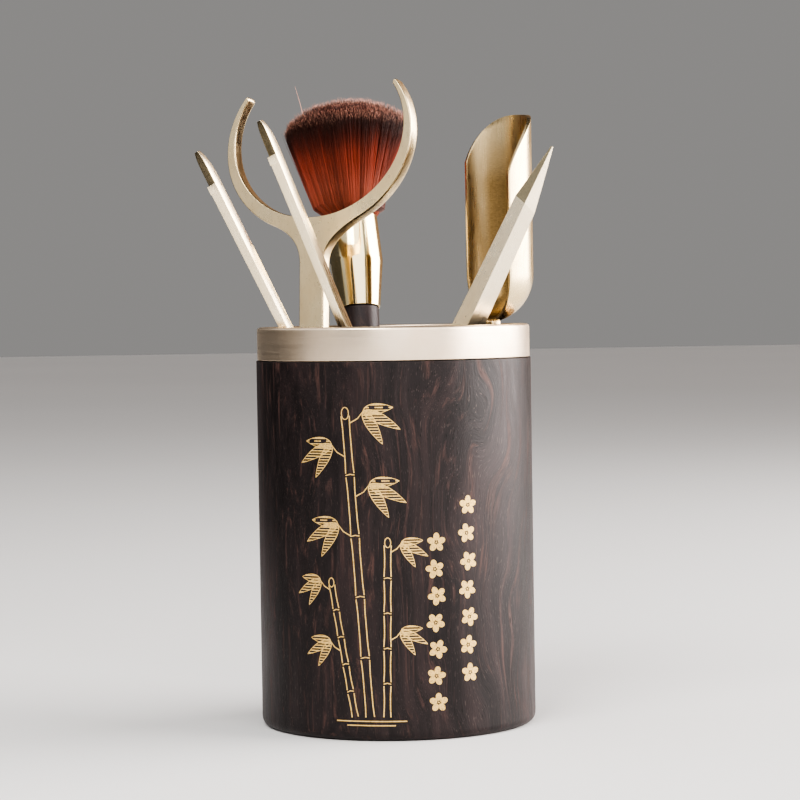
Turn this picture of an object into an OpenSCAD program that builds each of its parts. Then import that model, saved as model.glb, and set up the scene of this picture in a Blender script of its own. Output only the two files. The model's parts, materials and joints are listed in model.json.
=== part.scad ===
// A turned blackwood pot with a brass collar, holding a set of tea tools: a crescent fork for the
// strainer, spring tongs, a tea brush, a trough scoop and a square pick. Millimetres, +Z up.
// The origin is the centre of the face that the pot stands on, and the picture side faces -Y.
// Each tool is drawn along its own +Z with its front towards -Y, then stood in the pot between a
// foot point on the pot's floor and a point in the plane of the pot's mouth.

/* [Pot] */
// Height from the table to the top of the collar
pot_h = 108.5; // [90:0.5:130]
// Outer radius of the wooden body
pot_r = 37.5; // [36.5:0.1:40]
// Inner radius of the wood and of the collar
bore_r = 33; // [32.6:0.1:33.5]
// Thickness of the wooden floor
floor_t = 7; // [4:0.5:9]
// Radius rounding the outer edge of the base
base_round = 2.6; // [1:0.1:4]

/* [Collar] */
// Height of the brass collar
collar_h = 9.1; // [6:0.1:14]
// Outer radius of the collar
collar_r = 37.2; // [36.2:0.1:37.4]
// Thickness of the collar's outer skirt
skirt_t = 1.3; // [0.8:0.1:2]
// Thickness of the collar's flat top
lip_t = 1.6; // [1:0.1:2.5]
// Radius rounding the top outer edge
lip_round = 1; // [0.4:0.1:1.4]

/* [Strainer fork] */
// Point on the floor where the fork stands
fork_foot = [-21.3, -14.5];
// Point where the fork passes the pot's mouth
fork_mouth = [-20, 5.7];
// Turn of the fork about its own length
fork_spin = -30; // [-35:1:-25]
// Thickness of the brass plate
fork_t = 3.7; // [3:0.1:3.8]
// Half width of the stem
stem_w = 4.1; // [3.5:0.1:4.3]
// Half width and half height of the crescent's inner edge
ring_in = [27.5, 23.4];
// Half width and half height of the crescent's outer edge
ring_out = [30.1, 25.85];
// Distances along the fork to the centres of the inner and the outer edge
ring_z = [157.4, 155.55];
// Angles above the level at which the left and the right arm end
arm_end = [36, 31.5];
// Sideways step of the stem from the crescent's middle
stem_step = -2; // [-2.5:0.1:0]

/* [Tongs] */
// Point on the floor where the tongs stand
tongs_foot = [23.5, -12.5];
// Point where the tongs' middle line passes the pot's mouth
tongs_mouth = [-20.6, -14];
// Turn of the tongs about their own length
tongs_spin = -25; // [-30:1:-20]
// Length from the bend to the tips
tongs_l = 166.6; // [160:0.2:168]
// Half the distance between the legs at the bend
leg_root = 4; // [3.4:0.1:4.2]
// Angle that each leg leans out at rest
leg_angle = 2.37; // [1.5:0.01:2.6]
// Thickness of a leg at its root, at the pot's mouth and near the tip
leg_t = [2.2, 2.2, 2.7];
// Width of a leg at its root, at the pot's mouth and near the tip
leg_w = [3.8, 3.6, 3.6];
// Length of the blunt end, in which a leg narrows
point_l = 4; // [3:0.5:8]

/* [Brush] */
// Point on the floor where the brush stands
brush_foot = [-4.4, 1];
// Point where the brush passes the pot's mouth
brush_mouth = [-9.3, 24];
// Radius of the handle at its end, its waist and its top
handle_r = [4.6, 4.9, 5.5];
// Distances along the brush to the ferrule's foot, crease and mouth
ferrule_z = [108.6, 122.3, 135.4];
// Outer radius of the ferrule at its foot, crease and mouth
ferrule_r = [5.95, 7.5, 6.6];
// Distances along the brush to the bristles' widest part and their crown
bristle_z = [160.5, 170.1];
// Radius of the bristles at their widest part
bristle_r = 18.4; // [15:0.1:18.6]
// Depth of the bristles over their width
bristle_flat = 0.72; // [0.6:0.01:0.76]

/* [Scoop] */
// Point on the floor where the scoop stands
scoop_foot = [26.2, 12.5];
// Point where the scoop passes the pot's mouth
scoop_mouth = [25.6, 2.5];
// Turn of the scoop about its own length
scoop_spin = -65; // [-70:1:-60]
// Outer radius of the trough
trough_r = 13.1; // [12.5:0.1:13.8]
// Thickness of the trough's sheet
trough_t = 1; // [0.8:0.1:1.4]
// Distances along the scoop to the centre of the closed end, the shoulders and the tip
trough_z = [115.2, 140.5, 158.4];
// Width and thickness of the scoop's handle
scoop_grip = [7.6, 2.8];

/* [Pick] */
// Point on the floor where the pick stands
pick_foot = [-28.4, 4];
// Point where the pick passes the pot's mouth
pick_mouth = [20.4, -13];
// Turn of the square bar about its own length
pick_spin = 38; // [35:1:50]
// Length of the pick
pick_l = 166.3; // [150:0.1:168]
// Side of the square at the foot, at the pot's mouth and at the root of the point
pick_w = [4.6, 5.9, 4.8];
// Length of the four-sided point
pick_point = 17; // [12:0.5:20]

/* [Hidden] */
$fn = 96;
eps = 0.01;

stand_gap = 0.3;              // air under a tool, so that it rests on the floor without overlap
stand_z = floor_t + stand_gap;
wood_h = pot_h - collar_h;    // height of the shoulder that the collar sits on
spigot_r = collar_r - skirt_t;
glue_gap = 0.08;              // film of glue between the wood's neck and the collar
hinge_z = 10;                 // height of the tongs' flex line above the foot
hinge_gap = 0.05;             // running clearance round a leg's rounded root
ring_steps = 72;              // straight pieces in each edge of the crescent
arch_steps = 28;              // straight pieces in the scoop's rounded tip
arch_power = [3.8, 2.9];      // how square the tip of the scoop is, left and right: 2 is an ellipse
tenon_r = 4.2;                // radius of the brush handle's tenon, inside the ferrule's foot
tenon_l = 8;                  // length of that tenon
mouth_bore = ferrule_r[2] - 0.8;
mouth_depth = 7;              // how far the bristles reach into the ferrule
flare_power = 0.58;           // how full the tuft is above the ferrule: 1 is a straight cone

// Stands a tool in the pot, from its foot point to its point in the mouth
module stand(foot, mouth, spin) {
    run = mouth - foot;
    rise = pot_h - stand_z;
    heading = atan2(run.y, run.x);
    tilt = atan2(norm(run), rise);
    translate([foot.x, foot.y, stand_z])
        rotate([0, 0, heading]) rotate([0, tilt, 0]) rotate([0, 0, spin - heading])
            children();
}

// Extrudes an outline drawn in X and Z through a depth centred on Y
module slab(depth) {
    rotate([90, 0, 0]) linear_extrude(depth, center = true) children();
}

// Points of an ellipse about (0, z) from one angle to another
function ellipse_arc(half, z, from, to, steps) =
    [for (i = [0:steps]) let (a = from + (to - from) * i / steps)
        [half.x * cos(a), z + half.y * sin(a)]];

// Height of the centre of a fillet whose crown lies on the crescent's outer edge
function fillet_z(x, r) = ring_z[1] - ring_out.y * sqrt(1 - pow(x / ring_out.x, 2)) - r;

// Points of the scoop's rounded tip, from its left shoulder to its right one
function arch_points(r, z, rise) =
    [for (i = [0:arch_steps]) let (
        a = 180 - 180 * i / arch_steps,
        c = abs(cos(a)),
        power = arch_power[a > 90 ? 0 : 1])
        [r * cos(a), z + rise * pow(max(0, 1 - pow(c, power)), 1 / power)]];

// A cup with a rounded foot; its narrow neck takes the collar
module wood_body() {
    neck_h = wood_h + collar_h - lip_t;
    color("#2e211f") rotate_extrude() difference() {
        union() {
            square([pot_r - base_round, wood_h]);
            translate([0, base_round]) square([pot_r, wood_h - base_round]);
            translate([pot_r - base_round, base_round]) circle(base_round);
            square([spigot_r - glue_gap, neck_h]);
        }
        translate([0, floor_t]) square([bore_r, pot_h]);
    }
}

// A skirt round the wood's neck and a flat lip over its end grain
module brass_collar() {
    color("#cdb48c") rotate_extrude() union() {
        translate([spigot_r, wood_h]) square([skirt_t, collar_h - lip_round]);
        translate([bore_r, pot_h - lip_t]) square([collar_r - lip_round - bore_r, lip_t]);
        translate([collar_r - lip_round, pot_h - lip_round]) intersection() {
            circle(lip_round);
            square(lip_round);
        }
    }
}

// The crescent: an outer ellipse less an inner one, open at the top
module crescent_outline() {
    polygon(concat(
        ellipse_arc(ring_out, ring_z[1], 180 - arm_end[0], 360 + arm_end[1], ring_steps),
        ellipse_arc(ring_in, ring_z[0], 360 + arm_end[1], 180 - arm_end[0], ring_steps)));
    middle = (ring_in + ring_out) / 2;
    middle_z = (ring_z[0] + ring_z[1]) / 2;
    for (a = [180 - arm_end[0], arm_end[1]])
        translate([middle.x * cos(a), middle_z + middle.y * sin(a)]) circle(1.25);
}

// The stem's two sides sweep out into the crescent
module stem_outline() {
    fillet_r = 9;
    foot_r = 3;
    neck_w = stem_w - 0.3;
    top_z = ring_z[0] - ring_in.y + 0.5;
    fillets = [for (side = [-1, 1]) fillet_z(stem_step + side * (neck_w + fillet_r), fillet_r)];
    neck_z = max(fillets) + 0.1;
    translate([stem_step, 0]) {
        translate([-stem_w, 1 + foot_r]) square([2 * stem_w, neck_z - foot_r - 1]);
        for (side = [-1, 1]) translate([side * (stem_w - foot_r), 1 + foot_r]) circle(foot_r);
        translate([foot_r - stem_w, 1]) square([2 * (stem_w - foot_r), foot_r + eps]);
    }
    for (side = [-1, 1]) {
        x = stem_step + side * (neck_w + fillet_r);
        z = fillet_z(x, fillet_r);
        difference() {
            translate([min(x, stem_step), z]) square([neck_w + fillet_r, top_z - z]);
            translate([x, z]) circle(fillet_r);
            polygon(ellipse_arc(ring_in, ring_z[0], 0, 360, ring_steps));
        }
    }
}

module strainer_fork() {
    color("#c9b184") stand(fork_foot, fork_mouth, fork_spin) slab(fork_t) union() {
        crescent_outline();
        stem_outline();
    }
}

// The bent end that joins the tongs' legs, with a hollow at each tip for a leg's rounded root
module tongs_heel() {
    bend_z = leg_root + leg_t[0] / 2 + 0.7;
    arm_top = hinge_z - 0.6;
    color("#cdb78c") stand(tongs_foot, tongs_mouth, tongs_spin) difference() {
        slab(leg_w[0]) union() {
            difference() {
                translate([0, bend_z]) circle(leg_root + leg_t[0] / 2);
                translate([0, bend_z]) circle(leg_root - leg_t[0] / 2);
                translate([-2 * leg_root, bend_z]) square([4 * leg_root, 3 * leg_root]);
            }
            for (side = [-1, 1]) translate([side * leg_root - leg_t[0] / 2, bend_z - eps])
                square([leg_t[0], arm_top - bend_z + eps]);
        }
        for (side = [-1, 1]) translate([side * leg_root, 0, hinge_z]) rotate([90, 0, 0])
            cylinder(h = 2 * leg_w[0], r = leg_t[0] / 2 + hinge_gap, center = true);
    }
}

// One leg: a flat bar with a rounded root and a blunt tip; side is -1 left or 1 right
module tongs_leg(side) {
    leg_l = tongs_l - hinge_z;
    mouth_l = 100;
    blunt = 0.7;
    root_w = leg_t[0] / 2 - 0.1;
    point_z = leg_l - point_l;
    stand(tongs_foot, tongs_mouth, tongs_spin)
    translate([side * leg_root, 0, hinge_z]) rotate([0, side * leg_angle, 0]) union() {
        rotate([90, 0, 0]) cylinder(h = leg_w[0], r = leg_t[0] / 2, center = true);
        intersection() {
            slab(2 * leg_w[0]) polygon([
                [-root_w, 0], [-leg_t[1] / 2, mouth_l], [-leg_t[2] / 2, point_z], [-blunt, leg_l],
                [blunt, leg_l], [leg_t[2] / 2, point_z], [leg_t[1] / 2, mouth_l], [root_w, 0]
            ]);
            rotate([0, 0, 90]) slab(4 * leg_t[0]) polygon([
                [-leg_w[0] / 2, -1], [-leg_w[1] / 2, mouth_l], [-leg_w[2] / 2, point_z],
                [-leg_w[2] / 2.6, leg_l - point_l / 2], [-blunt, leg_l], [blunt, leg_l],
                [leg_w[2] / 2.6, leg_l - point_l / 2], [leg_w[2] / 2, point_z],
                [leg_w[1] / 2, mouth_l], [leg_w[0] / 2, -1]
            ]);
        }
    }
}

module tongs_leg_left() {
    color("#d2bd92") tongs_leg(-1);
}

module tongs_leg_right() {
    color("#d2bd92") tongs_leg(1);
}

module brush_handle() {
    end_z = 0.6 + handle_r[0];
    waist_z = 50;
    color("#33211f") stand(brush_foot, brush_mouth, 0) rotate_extrude() union() {
        polygon([
            [0, end_z], [handle_r[0], end_z], [handle_r[1], waist_z], [handle_r[2], ferrule_z[0]],
            [tenon_r, ferrule_z[0]], [tenon_r, ferrule_z[0] + tenon_l], [0, ferrule_z[0] + tenon_l]
        ]);
        intersection() {
            translate([0, end_z]) circle(handle_r[0]);
            translate([0, 0]) square([handle_r[0], end_z + eps]);
        }
    }
}

module brush_ferrule() {
    color("#d9c27a") stand(brush_foot, brush_mouth, 0) rotate_extrude() polygon([
        [tenon_r, ferrule_z[0]], [ferrule_r[0], ferrule_z[0]], [ferrule_r[1], ferrule_z[1]],
        [ferrule_r[2], ferrule_z[2]], [mouth_bore, ferrule_z[2]],
        [mouth_bore, ferrule_z[2] - mouth_depth], [0, ferrule_z[2] - mouth_depth],
        [0, ferrule_z[0] + tenon_l], [tenon_r, ferrule_z[0] + tenon_l]
    ]);
}

// Right half of the bristles' outline, from a plug in the ferrule up to the top of a domed tuft
function tuft_points(half) = let (
        steps = 12,
        root_r = mouth_bore - 0.05,
        root_z = ferrule_z[2] - mouth_depth + 0.05,
        flare_z = ferrule_z[2] + 1,
        crown = bristle_z[1] - bristle_z[0])
    concat(
        [[0, root_z], [root_r, root_z]],
        [for (i = [0:steps]) let (s = i / steps)
            [root_r + (half - root_r) * pow(s, flare_power), flare_z + (bristle_z[0] - flare_z) * s]],
        [for (i = [1:steps]) let (a = 90 * i / steps)
            [half * cos(a), bristle_z[0] + crown * sin(a)]]);

// A round tuft, pressed a little flat from front to back
module brush_bristles() {
    right = tuft_points(bristle_r * bristle_flat);
    left = [for (i = [len(right) - 2:-1:1]) [-right[i].x, right[i].y]];
    color("#7d3122") stand(brush_foot, brush_mouth, 0) intersection() {
        rotate_extrude() polygon(tuft_points(bristle_r));
        rotate([0, 0, 90]) slab(3 * bristle_r) polygon(concat(right, left));
    }
}

// A half tube closed by a quarter ball at its lower end and rounded off at its tip
module scoop_bowl() {
    lip_y = 0.8;
    rise = trough_z[2] - trough_z[1];
    color("#c8ae7c") stand(scoop_foot, scoop_mouth, scoop_spin) intersection() {
        difference() {
            union() {
                translate([0, 0, trough_z[0]]) cylinder(h = trough_z[2] - trough_z[0], r = trough_r);
                translate([0, 0, trough_z[0]]) sphere(trough_r);
            }
            translate([0, 0, trough_z[0]]) cylinder(h = 60, r = trough_r - trough_t);
            translate([0, 0, trough_z[0]]) sphere(trough_r - trough_t);
        }
        translate([-30, lip_y, trough_z[0] - 30]) cube([60, 30, 90]);
        translate([0, 15, 0]) slab(30) polygon(concat(
            [[-trough_r, trough_z[0] - 20]],
            arch_points(trough_r, trough_z[1], rise),
            [[trough_r, trough_z[0] - 20]]));
    }
}

module scoop_handle() {
    half = scoop_grip.x / 2;
    top_z = trough_z[0] - trough_r + 3;
    color("#c8ae7c") stand(scoop_foot, scoop_mouth, scoop_spin) difference() {
        translate([0, scoop_grip.y / 2 - 0.2, 0]) slab(scoop_grip.y) union() {
            translate([0, 1 + half]) circle(half);
            translate([-half, 1 + half]) square([scoop_grip.x, top_z - 1 - half]);
        }
        translate([0, 0, trough_z[0]]) sphere(trough_r);
    }
}

// A square bar, thickest at the pot's mouth, ground to a four-sided point
module tea_pick() {
    foot_z = 2;
    mouth_z = 112;
    root_z = pick_l - pick_point;
    tip_w = 0.5;
    spans = [[foot_z, pick_w[0]], [mouth_z, pick_w[1]], [root_z, pick_w[2]], [pick_l, tip_w]];
    color("#d6c39c") stand(pick_foot, pick_mouth, pick_spin) union() {
        for (i = [0:2]) hull() {
            for (s = [spans[i], spans[i + 1]]) translate([-s[1] / 2, -s[1] / 2, s[0] - eps])
                cube([s[1], s[1], eps]);
        }
    }
}

wood_body();
brass_collar();
strainer_fork();
tongs_heel();
tongs_leg_left();
tongs_leg_right();
brush_handle();
brush_ferrule();
brush_bristles();
scoop_bowl();
scoop_handle();
tea_pick();
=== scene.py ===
import json
import math

import bmesh
import bpy
import numpy as np
from mathutils import Matrix, Vector


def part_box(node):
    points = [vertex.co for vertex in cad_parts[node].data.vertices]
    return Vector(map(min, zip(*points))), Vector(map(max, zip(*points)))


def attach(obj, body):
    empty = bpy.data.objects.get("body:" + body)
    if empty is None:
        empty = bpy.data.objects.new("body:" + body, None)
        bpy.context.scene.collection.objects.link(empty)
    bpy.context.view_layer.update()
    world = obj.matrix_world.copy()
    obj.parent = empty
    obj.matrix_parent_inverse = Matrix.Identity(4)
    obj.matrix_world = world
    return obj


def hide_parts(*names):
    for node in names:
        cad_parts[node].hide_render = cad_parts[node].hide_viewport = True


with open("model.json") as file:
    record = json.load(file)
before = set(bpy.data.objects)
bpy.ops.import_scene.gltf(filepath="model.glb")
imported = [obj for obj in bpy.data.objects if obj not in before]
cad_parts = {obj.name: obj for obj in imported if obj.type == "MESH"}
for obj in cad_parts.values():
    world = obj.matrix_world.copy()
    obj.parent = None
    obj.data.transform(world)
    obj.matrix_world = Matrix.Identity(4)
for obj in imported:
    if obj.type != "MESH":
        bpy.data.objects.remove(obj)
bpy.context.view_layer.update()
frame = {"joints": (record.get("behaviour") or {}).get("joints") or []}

MM = 0.001
SEED = 20
lift_axis = {joint["child"]: Vector(joint["axis"]) for joint in frame["joints"]}

# ---------------------------------------------------------------------------------- sizes, in mm

pot_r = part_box("wood_body")[1].x / MM
pot_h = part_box("brass_collar")[1].z / MM
collar_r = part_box("brass_collar")[1].x / MM
collar_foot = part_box("brass_collar")[0].z / MM
bore_r = 33.0
floor_t = 7.0
lip_t = 1.6
skirt_t = 1.3
stand_z = floor_t + 0.3

fork_foot, fork_spin = (-21.3, -14.5), -30
tongs_foot, tongs_spin = (23.5, -12.5), -25
brush_foot, brush_spin = (-4.4, 1.0), 0
scoop_foot, scoop_spin = (26.2, 12.5), -65
pick_foot, pick_spin = (-28.4, 4.0), 38

# ------------------------------------------------------------------------------- placing and mesh


def stood(body, foot, spin):
    """Matrix that stands a tool on the pot's floor at foot, leaning along its lift joint."""
    lean = Vector((0, 0, 1)).rotation_difference(lift_axis[body]).to_matrix().to_4x4()
    place = Matrix.Translation(Vector((foot[0], foot[1], stand_z)) * MM)
    return place @ lean @ Matrix.Rotation(math.radians(spin), 4, "Z") @ Matrix.Scale(MM, 4)


def settled(name, build, place, bevel=0.0, bevel_steps=3, bevel_angle=25, smooth_angle=32):
    """Turns a bmesh in millimetres into an object in the frame, with its "own" attribute."""
    raw = bpy.data.meshes.new(name + "_raw")
    bmesh.ops.recalc_face_normals(build, faces=build.faces)
    build.to_mesh(raw)
    build.free()
    if bevel:
        holder = bpy.data.objects.new(name + "_raw", raw)
        bpy.context.scene.collection.objects.link(holder)
        edge = holder.modifiers.new("edge", "BEVEL")
        edge.width = bevel
        edge.segments = bevel_steps
        edge.limit_method = "ANGLE"
        edge.angle_limit = math.radians(bevel_angle)
        edge.use_clamp_overlap = True
        depsgraph = bpy.context.evaluated_depsgraph_get()
        mesh = bpy.data.meshes.new_from_object(holder.evaluated_get(depsgraph))
        bpy.data.objects.remove(holder)
        bpy.data.meshes.remove(raw)
    else:
        mesh = raw
    mesh.name = name
    return placed(name, mesh, place, smooth_angle)


def placed(name, mesh, place, smooth_angle=32):
    """Keeps the mesh's own coordinates as an attribute, and moves it into the frame."""
    own = np.empty(len(mesh.vertices) * 3, np.float32)
    mesh.vertices.foreach_get("co", own)
    mesh.attributes.new("own", "FLOAT_VECTOR", "POINT").data.foreach_set("vector", own)
    mesh.transform(place)
    mesh.shade_smooth()
    mesh.set_sharp_from_angle(angle=math.radians(smooth_angle))
    obj = bpy.data.objects.new(name, mesh)
    bpy.context.scene.collection.objects.link(obj)
    return obj


def belongs(obj, body, slot, material, *nodes):
    """The piece gets its material, moves with a body, and stands for CAD nodes."""
    obj.data.materials.append(material)
    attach(obj, body)
    if nodes:
        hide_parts(*nodes)
    return obj


def paint_shade(obj, share):
    """Writes the attribute for painted shade and painted dark reflection: share gives a vertex's value from
    its own coordinates.
    """
    mesh = obj.data
    own = np.empty(len(mesh.vertices) * 3, np.float32)
    mesh.attributes["own"].data.foreach_get("vector", own)
    values = np.array([share(*point) for point in own.reshape(-1, 3).tolist()], np.float32)
    mesh.attributes.new("painted_shade", "FLOAT", "POINT").data.foreach_set("value", values)


def even(obj, **values):
    """Gives every point of a piece the same value of each attribute."""
    for name, value in values.items():
        data = obj.data.attributes.new(name, "FLOAT", "POINT").data
        data.foreach_set("value", np.full(len(data), value, np.float32))


def paint_shade_faces(obj, share):
    """Writes the attribute for painted shade and painted dark reflection face by face, from a face's own
    centre and its own normal.
    """
    mesh = obj.data
    own = mesh.attributes["own"].data
    values = []
    for face in mesh.polygons:
        corners = [own[i].vector for i in face.vertices]
        centre = sum(corners, Vector()) / len(corners)
        normal = sum(((a - centre).cross(b - centre)
                      for a, b in zip(corners, corners[1:] + corners[:1])), Vector()).normalized()
        values.append(float(share(centre, normal)))
    mesh.attributes.new("painted_shade", "FLOAT", "FACE").data.foreach_set("value", values)


def arc(centre, radius, start, end, steps):
    """Points of a circle's arc in a plane, between two angles in degrees."""
    turns = [math.radians(start + (end - start) * i / steps) for i in range(steps + 1)]
    return [(centre[0] + radius * math.cos(a), centre[1] + radius * math.sin(a)) for a in turns]


def ellipse_point(half, z, angle):
    """A point of an ellipse about (0, z), at an angle in degrees."""
    return half[0] * math.cos(math.radians(angle)), z + half[1] * math.sin(math.radians(angle))


def cubic(a, b, c, d, steps):
    """Points of a cubic Bezier curve, without its first point."""
    points = []
    for i in range(1, steps + 1):
        s = i / steps
        k = ((1 - s) ** 3, 3 * s * (1 - s) ** 2, 3 * s * s * (1 - s), s ** 3)
        points.append(tuple(k[0] * a[j] + k[1] * b[j] + k[2] * c[j] + k[3] * d[j] for j in range(2)))
    return points


def rounded(corners, steps=5):
    """A closed outline of (x, y, radius) corners, with each corner turned into an arc."""
    points = []
    for i, (x, y, radius) in enumerate(corners):
        here = Vector((x, y))
        back = (Vector(corners[i - 1][:2]) - here).normalized()
        ahead = (Vector(corners[(i + 1) % len(corners)][:2]) - here).normalized()
        if not radius:
            points.append((x, y))
            continue
        half = math.acos(max(-1, min(1, back.dot(ahead)))) / 2
        reach = radius / math.tan(half)
        for k in range(steps + 1):
            s = k / steps
            curve = here + back * reach * (1 - s) ** 2 + ahead * reach * s ** 2
            points.append(tuple(curve))
    return points


def lathe(profile, steps=192):
    """Revolves a closed outline of (radius, z) points about Z."""
    build = bmesh.new()
    rings = []
    for radius, z in profile:
        if radius < 1e-6:
            rings.append([build.verts.new((0, 0, z))])
            continue
        turns = [2 * math.pi * k / steps for k in range(steps)]
        rings.append([build.verts.new((radius * math.sin(a), -radius * math.cos(a), z)) for a in turns])
    for i, low in enumerate(rings):
        high = rings[(i + 1) % len(rings)]
        if len(low) == 1 and len(high) == 1:
            continue
        for k in range(steps):
            m = (k + 1) % steps
            if len(low) == 1:
                build.faces.new((low[0], high[m], high[k]))
            elif len(high) == 1:
                build.faces.new((low[k], low[m], high[0]))
            else:
                build.faces.new((low[k], low[m], high[m], high[k]))
    return build


def loft(rings, build=None):
    """Skins a row of rings with the same number of points, and closes both ends."""
    build = build or bmesh.new()
    loops = [[build.verts.new(p) for p in ring] for ring in rings]
    count = len(loops[0])
    for low, high in zip(loops, loops[1:]):
        for k in range(count):
            m = (k + 1) % count
            build.faces.new((low[k], low[m], high[m], high[k]))
    build.faces.new(loops[0][::-1])
    build.faces.new(loops[-1])
    return build


def bar_ring(x0, x1, y0, y1, z, corner, slope=(0, 0)):
    """A rounded rectangle's ring; slope tips the ring's height along X and Y."""
    corner = min(corner, 0.45 * (x1 - x0), 0.45 * (y1 - y0))
    flat = rounded([(x0, y0, corner), (x1, y0, corner), (x1, y1, corner), (x0, y1, corner)], 4)
    return [(x, y, z + slope[0] * x + slope[1] * y) for x, y in flat]


def slab(outline, y0, y1):
    """A plate between two depths, from an outline in X and Z."""
    build = bmesh.new()
    front = [build.verts.new((x, y0, z)) for x, z in outline]
    back = [build.verts.new((x, y1, z)) for x, z in outline]
    for k in range(len(outline)):
        m = (k + 1) % len(outline)
        build.faces.new((front[k], front[m], back[m], back[k]))
    build.faces.new(front)
    build.faces.new(back[::-1])
    return build


def pillow(outline, half, inset, deep, steps):
    """A plate centred on Y from a counter-clockwise outline in X and Z. Its edges are rounded,
    inset wide on the faces and deep on the sides."""
    points = [Vector(a) for a, b in zip(outline, outline[1:] + outline[:1]) if math.dist(a, b) > 0.01]
    ahead = [(b - a).normalized() for a, b in zip(points, points[1:] + points[:1])]
    along = [(a + b).normalized() for a, b in zip(ahead[-1:] + ahead[:-1], ahead)]
    layers = [(inset + 0.04, half)]
    for i in range(steps + 1):
        a = math.pi / 2 * i / steps
        layers.append((inset * (1 - math.sin(a)), half - deep * (1 - math.cos(a))))
    rings = [[(p.x - w.y * r, y, p.y + w.x * r) for p, w in zip(points, along)]
             for r, y in [(r, -y) for r, y in layers] + layers[::-1]]
    return loft(rings)


# -------------------------------------------------------------------------------- material parts


class Look:
    """A material's node tree, with short calls for the nodes that the materials share."""

    def __init__(self, name, metallic=0.0, specular=0.5):
        self.material = bpy.data.materials.new(name)
        self.material.use_nodes = True
        self.tree = self.material.node_tree
        self.surface = self.tree.nodes["Principled BSDF"]
        self.surface.inputs["Metallic"].default_value = metallic
        self.surface.inputs["Specular IOR Level"].default_value = specular
        self.own = self.attribute("own", "Vector")

    def add(self, kind, inputs=None, **settings):
        node = self.tree.nodes.new(kind)
        for key, value in settings.items():
            setattr(node, key, value)
        for key, value in (inputs or {}).items():
            if isinstance(value, bpy.types.NodeSocket):
                self.tree.links.new(value, node.inputs[key])
            else:
                node.inputs[key].default_value = value
        return node

    def attribute(self, name, output):
        return self.add("ShaderNodeAttribute", attribute_name=name).outputs[output]

    def scaled(self, x, y, z):
        inputs = {0: self.own, 1: (x, y, z)}
        return self.add("ShaderNodeVectorMath", inputs, operation="MULTIPLY").outputs[0]

    def noise(self, vector, detail=3.0, roughness=0.55, distortion=0.0):
        inputs = {"Vector": vector, "Scale": 1.0, "Detail": detail, "Roughness": roughness,
                  "Distortion": distortion}
        return self.add("ShaderNodeTexNoise", inputs).outputs["Fac"]

    def math(self, operation, a, b=0.0, clamp=False):
        node = self.add("ShaderNodeMath", {0: a, 1: b}, operation=operation)
        node.use_clamp = clamp
        return node.outputs[0]

    def span(self, value, low, high, to_low=0.0, to_high=1.0):
        inputs = {"Value": value, "From Min": low, "From Max": high, "To Min": to_low,
                  "To Max": to_high}
        return self.add("ShaderNodeMapRange", inputs).outputs["Result"]

    def ramp(self, factor, stops):
        node = self.add("ShaderNodeValToRGB", {"Fac": factor})
        elements = node.color_ramp.elements
        while len(elements) < len(stops):
            elements.new(1.0)
        for element, (at, colour) in zip(elements, stops):
            element.position = at
            element.color = (*colour, 1)
        return node.outputs["Color"]

    def mixed(self, factor, a, b, blend="MIX"):
        node = self.add("ShaderNodeMix", data_type="RGBA", blend_type=blend)
        for key, value in ((0, factor), (6, a), (7, b)):
            if isinstance(value, bpy.types.NodeSocket):
                self.tree.links.new(value, node.inputs[key])
            elif key == 0:
                node.inputs[key].default_value = value
            else:
                node.inputs[key].default_value = (*value, 1)
        return node.outputs[2]

    def bump(self, height, distance, normal=None):
        inputs = {"Height": height, "Distance": distance * MM, "Strength": 1.0}
        if normal:
            inputs["Normal"] = normal
        return self.add("ShaderNodeBump", inputs).outputs["Normal"]

    def done(self, colour, roughness, normal=None):
        for key, value in (("Base Color", colour), ("Roughness", roughness), ("Normal", normal)):
            if isinstance(value, bpy.types.NodeSocket):
                self.tree.links.new(value, self.surface.inputs[key])
            elif value is not None:
                self.surface.inputs[key].default_value = value
        return self.material


def wood_look(name, dark, warm, streak):
    """Blackwood: near-black heartwood with warm figure, open pores and a thin oiled sheen."""
    look = Look(name, specular=0.34)
    warp = look.noise(look.scaled(0.035, 0.035, 0.016), 2, 0.5)
    swirl = look.add("ShaderNodeVectorMath", {0: look.own, 1: (0, 0, 0)}, operation="ADD")
    bend = look.add("ShaderNodeCombineXYZ", {"X": look.math("MULTIPLY", warp, 26.0),
                                             "Y": look.math("MULTIPLY", warp, 26.0)})
    look.tree.links.new(bend.outputs[0], swirl.inputs[1])

    def along(x, z, detail, roughness=0.6):
        stretch = look.add("ShaderNodeVectorMath", {0: swirl.outputs[0], 1: (x, x, z)},
                           operation="MULTIPLY")
        return look.noise(stretch.outputs[0], detail, roughness)

    figure = along(0.16, 0.012, 5)
    veins = along(0.75, 0.035, 4)
    pores = along(4.2, 0.22, 2)
    colour = look.ramp(figure, [(0.34, dark), (0.5, tuple(c * 1.9 for c in dark)), (0.66, warm)])
    colour = look.mixed(look.span(veins, 0.55, 0.72), colour, streak)
    colour = look.mixed(look.span(pores, 0.62, 0.72), colour, tuple(c * 0.35 for c in dark))
    dust = look.span(along(6.0, 0.5, 1), 0.66, 0.72, 0.0, 0.35)
    colour = look.mixed(dust, colour, (0.16, 0.115, 0.1))
    gloss = look.span(veins, 0.3, 0.7, 0.36, 0.5)
    normal = look.bump(pores, 0.05)
    normal = look.bump(figure, 0.12, normal)
    return look.done(colour, gloss, normal)


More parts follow.
